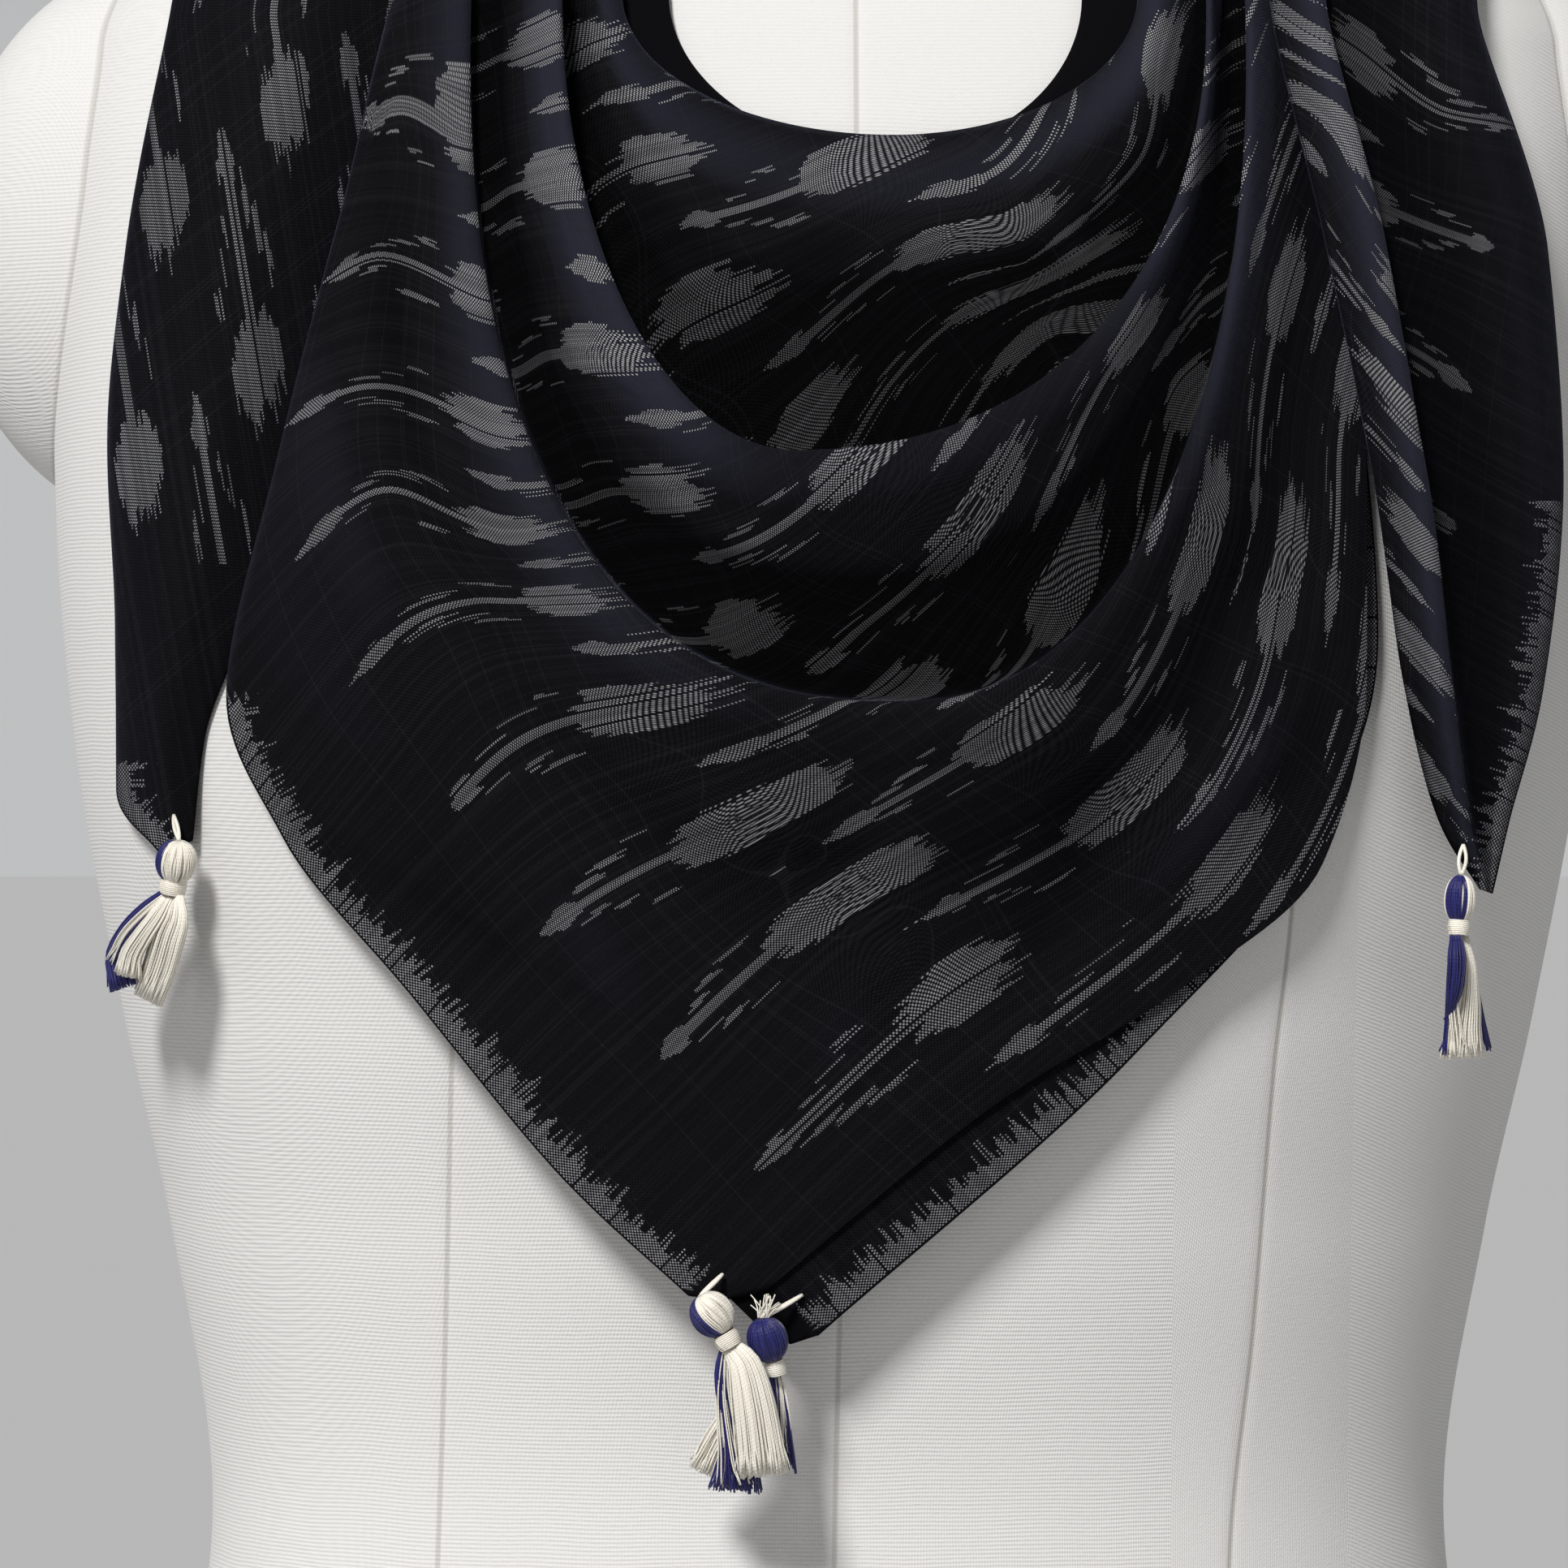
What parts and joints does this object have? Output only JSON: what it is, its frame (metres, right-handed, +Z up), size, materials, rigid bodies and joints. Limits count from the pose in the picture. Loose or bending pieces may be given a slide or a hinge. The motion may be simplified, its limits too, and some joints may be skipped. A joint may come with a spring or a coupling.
{
  "type": "ikat scarf on a dress form",
  "caption": "Square ikat scarf folded to a triangle, worn point forward in swags round the neck of a limbless dress form, with tasselled corners.",
  "frame": {"origin": "middle of the form's flat base, on the surface it stands on", "axes": "+Z up, -Y out of the wearer's chest, +X to the right as seen from the front"},
  "size_m": [0.424, 0.2665, 0.672],
  "materials": {
    "ikat_cloth": "plain-weave cotton voile, near black with off-white warp-ikat motifs",
    "form_cover": "tightly stretched cream cotton cover with a fine cross rib",
    "tassel_cream": "off-white stranded cotton thread, slightly glossy",
    "tassel_blue": "royal blue and off-white stranded cotton thread, slightly glossy"
  },
  "bodies": {
    "root": {"dress_form": "form_cover", "scarf_front_layer": "ikat_cloth", "scarf_rear_layer": "ikat_cloth", "scarf_left_wrap": "ikat_cloth", "scarf_right_wrap": "ikat_cloth", "scarf_left_tail": "ikat_cloth", "scarf_right_tail": "ikat_cloth", "front_tassel_loop": "tassel_cream", "front_tassel_head": "tassel_cream", "front_tassel_binding": "tassel_cream", "front_tassel_skirt": "tassel_blue", "rear_tassel_loop": "tassel_cream", "rear_tassel_head": "tassel_cream", "rear_tassel_binding": "tassel_cream", "rear_tassel_skirt": "tassel_blue", "left_tassel_loop": "tassel_cream", "left_tassel_head": "tassel_cream", "left_tassel_binding": "tassel_cream", "left_tassel_skirt": "tassel_blue", "right_tassel_loop": "tassel_cream", "right_tassel_head": "tassel_cream", "right_tassel_binding": "tassel_cream", "right_tassel_skirt": "tassel_blue"}
  },
  "joints": []
}
